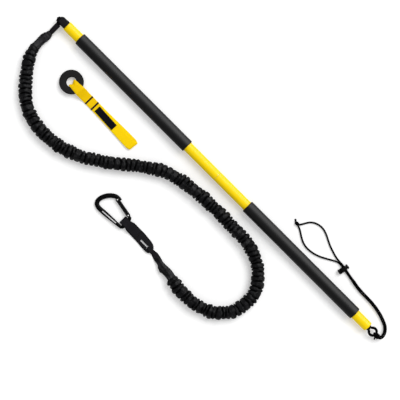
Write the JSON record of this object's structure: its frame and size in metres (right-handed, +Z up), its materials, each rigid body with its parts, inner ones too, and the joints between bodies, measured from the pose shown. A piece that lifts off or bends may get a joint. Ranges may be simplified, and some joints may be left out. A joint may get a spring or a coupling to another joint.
{
  "type": "resistance band bar",
  "caption": "Steel exercise bar with foam grips, a sleeved elastic band and clip at one end, a wrist cord and lock at the other, and a loose door anchor",
  "frame": {"origin": "on the floor, in the middle of the rectangle that the bar and the door anchor cover", "axes": "+X along the bar from the band end to the wrist end, +Y across the bar away from the band, +Z up"},
  "size_m": [1.1161, 0.3712, 0.0326],
  "materials": {
    "yellow_paint": "glossy yellow powder coat",
    "steel": "plain zinc-plated steel",
    "grip_foam": "satin black closed-cell foam",
    "anchor_foam": "matt charcoal dense foam",
    "black_plastic": "black moulded plastic with a fine grain",
    "black_cord": "black braided cord",
    "black_thread": "black sewing thread, bar tacks",
    "sleeve_fabric": "black nylon, gathered into ruffles",
    "cuff_fabric": "black smooth nylon with a soft sheen",
    "elastic": "natural latex",
    "black_webbing": "charcoal woven nylon webbing",
    "yellow_webbing": "yellow woven polypropylene webbing",
    "black_anodised": "black anodised aluminium, satin",
    "label": "dark woven label, bare"
  },
  "bodies": {
    "bar": {"band_end_tube": "yellow_paint", "wrist_end_tube": "yellow_paint", "band_end_grip": "grip_foam", "wrist_end_grip": "grip_foam", "coupler_stud": "steel", "coupler_insert": "steel", "band_end_plug": "black_plastic", "wrist_end_plug": "black_plastic", "band_loop_washer": "steel", "wrist_loop_washer": "steel", "band_end_loop": "black_cord", "wrist_end_loop": "black_cord"},
    "band": {"band_head_strap": "black_webbing", "band_head_cuff": "cuff_fabric", "head_core_clamp": "steel", "band_sleeve": "sleeve_fabric", "band_core": "elastic", "tail_core_clamp": "steel", "band_tail_cuff": "cuff_fabric", "band_tail_strap": "black_webbing", "carabiner_strap": "black_webbing", "carabiner_strap_tack": "black_thread"},
    "carabiner": {"carabiner_body": "black_anodised", "gate_hinge_pin": "steel"},
    "gate": {"carabiner_gate": "black_anodised", "gate_latch_pin": "steel", "gate_plunger": "steel", "gate_spring": "steel"},
    "wrist_cord": {"wrist_hitch": "black_cord", "wrist_cord_upper": "black_cord", "wrist_cord_lower": "black_cord", "wrist_knot": "black_cord"},
    "cord_lock": {"cord_lock_body": "black_plastic", "cord_lock_spring": "steel"},
    "lock_button": {"cord_lock_button": "black_plastic"},
    "door_anchor": {"anchor_strap": "yellow_webbing", "anchor_label": "label", "anchor_tack_inner": "black_thread", "anchor_tack_outer": "black_thread"},
    "anchor_ring": {"anchor_disc": "anchor_foam"}
  },
  "joints": [
    {"name": "band_swing", "type": "hinge", "parent": "bar", "child": "band", "pos_m": [-0.5357, 0.05145, 0.01605], "axis": [0, 0, 1], "range_deg": [-90, 2]},
    {"name": "carabiner_flip", "type": "hinge", "parent": "band", "child": "carabiner", "pos_m": [-0.077, -0.18755, 0.00705], "axis": [-0.0698, 0.9976, 0], "range_deg": [0, 100]},
    {"name": "gate_open", "type": "hinge", "parent": "carabiner", "child": "gate", "pos_m": [-0.08605, -0.16994, 0.00686], "axis": [-0.0247, -0.0017, 0.9997], "range_deg": [0, 26], "stiffness_Nm_per_rad": 0.4, "springref_deg": -17.19},
    {"name": "wrist_cord_swing", "type": "hinge", "parent": "bar", "child": "wrist_cord", "pos_m": [0.5357, 0.05145, 0.01605], "axis": [0, 0, 1], "range_deg": [-90, 2]},
    {"name": "lock_slide", "type": "slide", "parent": "wrist_cord", "child": "cord_lock", "axis": [0.9848, -0.1736, 0], "range_m": [0, 0.02]},
    {"name": "lock_press", "type": "slide", "parent": "cord_lock", "child": "lock_button", "axis": [-0.1736, -0.9848, 0], "range_m": [0, 0.003], "stiffness_N_per_m": 900, "springref_m": -0.003, "deforming": ["cord_lock_spring"]},
    {"name": "anchor_lift_off", "type": "slide", "parent": "bar", "child": "door_anchor", "axis": [0, 0, 1], "range_m": [0, 0.2]},
    {"name": "anchor_ring_turn", "type": "hinge", "parent": "door_anchor", "child": "anchor_ring", "pos_m": [-0.4146, -0.03775, 0.00175], "axis": [-0.0582, 0.001, 0.9983], "continuous": true}
  ]
}
